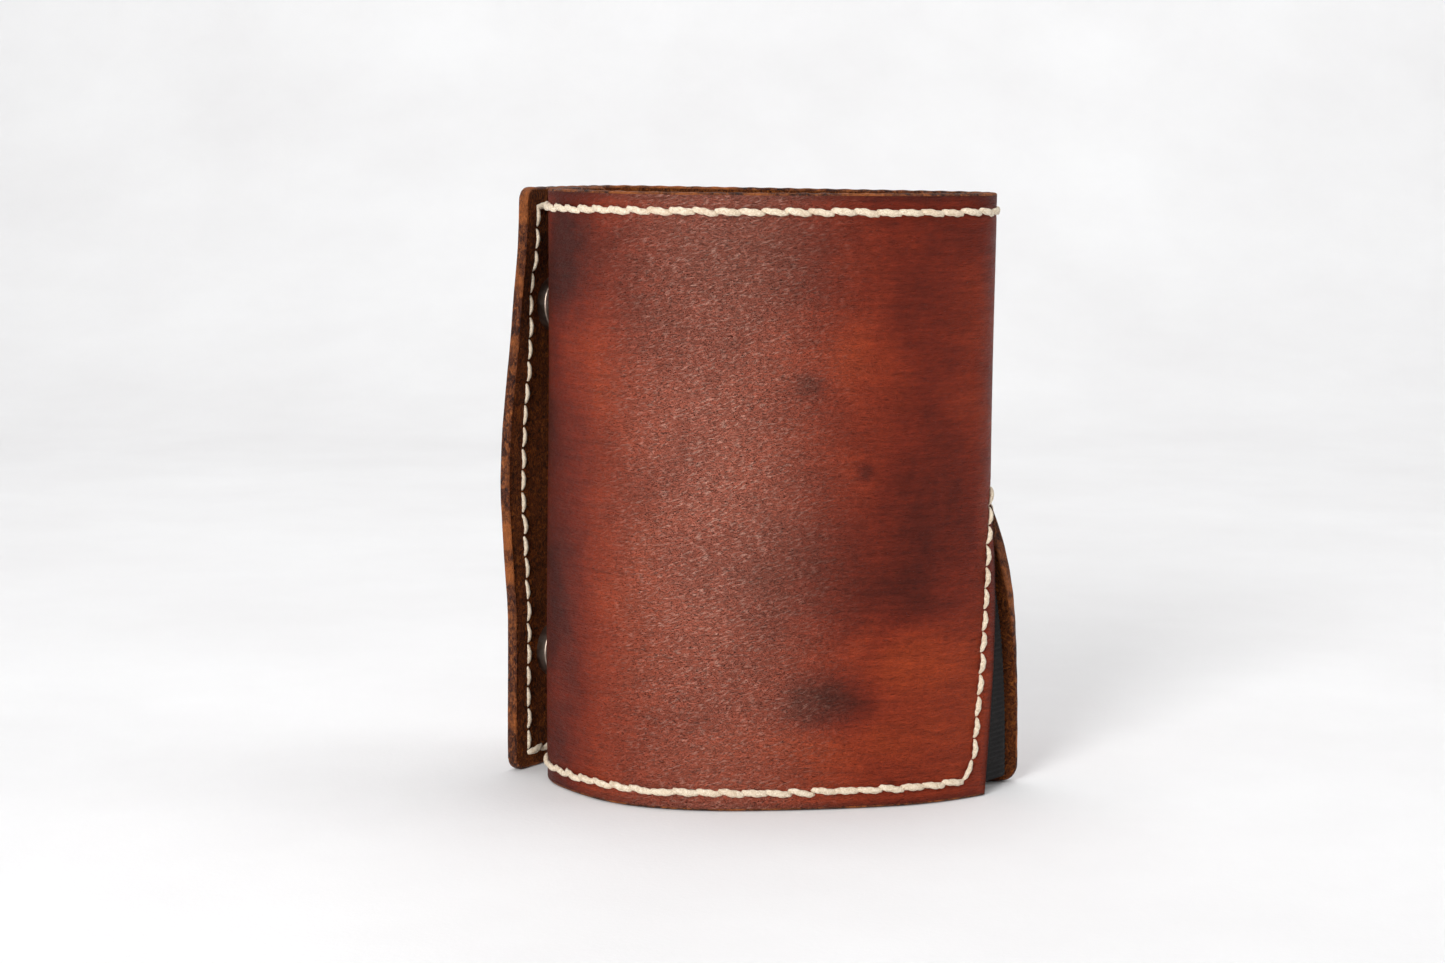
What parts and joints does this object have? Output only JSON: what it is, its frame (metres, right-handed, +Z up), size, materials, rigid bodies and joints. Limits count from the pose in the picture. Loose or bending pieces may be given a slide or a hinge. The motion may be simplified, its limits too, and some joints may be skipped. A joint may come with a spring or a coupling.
{
  "type": "leather card holder",
  "caption": "Upright wrap-around leather card holder with a snap flap, an inner card pocket and an elastic gusset in a notched side fold.",
  "frame": {"origin": "under the middle of the bounding box, on the surface the holder stands on, at rest", "axes": "+X to the right along the front, +Y away from the front towards the back panel, +Z up along the folds"},
  "size_m": [0.0936, 0.054, 0.1067],
  "materials": {
    "panel_leather": "waxed, hand dyed, burnished edges",
    "pocket_leather": "thin, waxed",
    "black_elastic": "ribbed woven elastic",
    "waxed_thread": "waxed linen thread",
    "snap_nickel": "nickel plated, slightly dulled"
  },
  "bodies": {
    "back": {"back_panel": "panel_leather", "card_pocket": "pocket_leather", "elastic_gusset": "black_elastic", "back_top_stitching": "waxed_thread", "back_bottom_stitching": "waxed_thread", "notch_back_stitching": "waxed_thread", "pocket_side_stitching": "waxed_thread"},
    "front": {"front_panel": "panel_leather", "front_top_stitching": "waxed_thread", "front_bottom_stitching": "waxed_thread", "notch_front_stitching": "waxed_thread", "tab_edge_stitching": "waxed_thread", "lower_snap_stud": "snap_nickel", "upper_snap_stud": "snap_nickel", "lower_snap_post": "snap_nickel", "upper_snap_post": "snap_nickel"},
    "flap": {"flap_panel": "panel_leather", "flap_top_stitching": "waxed_thread", "flap_bottom_stitching": "waxed_thread", "flap_edge_stitching": "waxed_thread", "lower_snap_cap": "snap_nickel", "upper_snap_cap": "snap_nickel", "lower_snap_socket": "snap_nickel", "upper_snap_socket": "snap_nickel"}
  },
  "joints": [
    {"name": "front_hinge", "type": "hinge", "parent": "back", "child": "front", "pos_m": [0.04011, -0.00885, 0], "axis": [0, 0, 1], "range_deg": [0, 120]},
    {"name": "flap_hinge", "type": "hinge", "parent": "back", "child": "flap", "pos_m": [-0.02865, 0.02613, 0], "axis": [0, 0, -1], "range_deg": [-5.2, 110]}
  ]
}
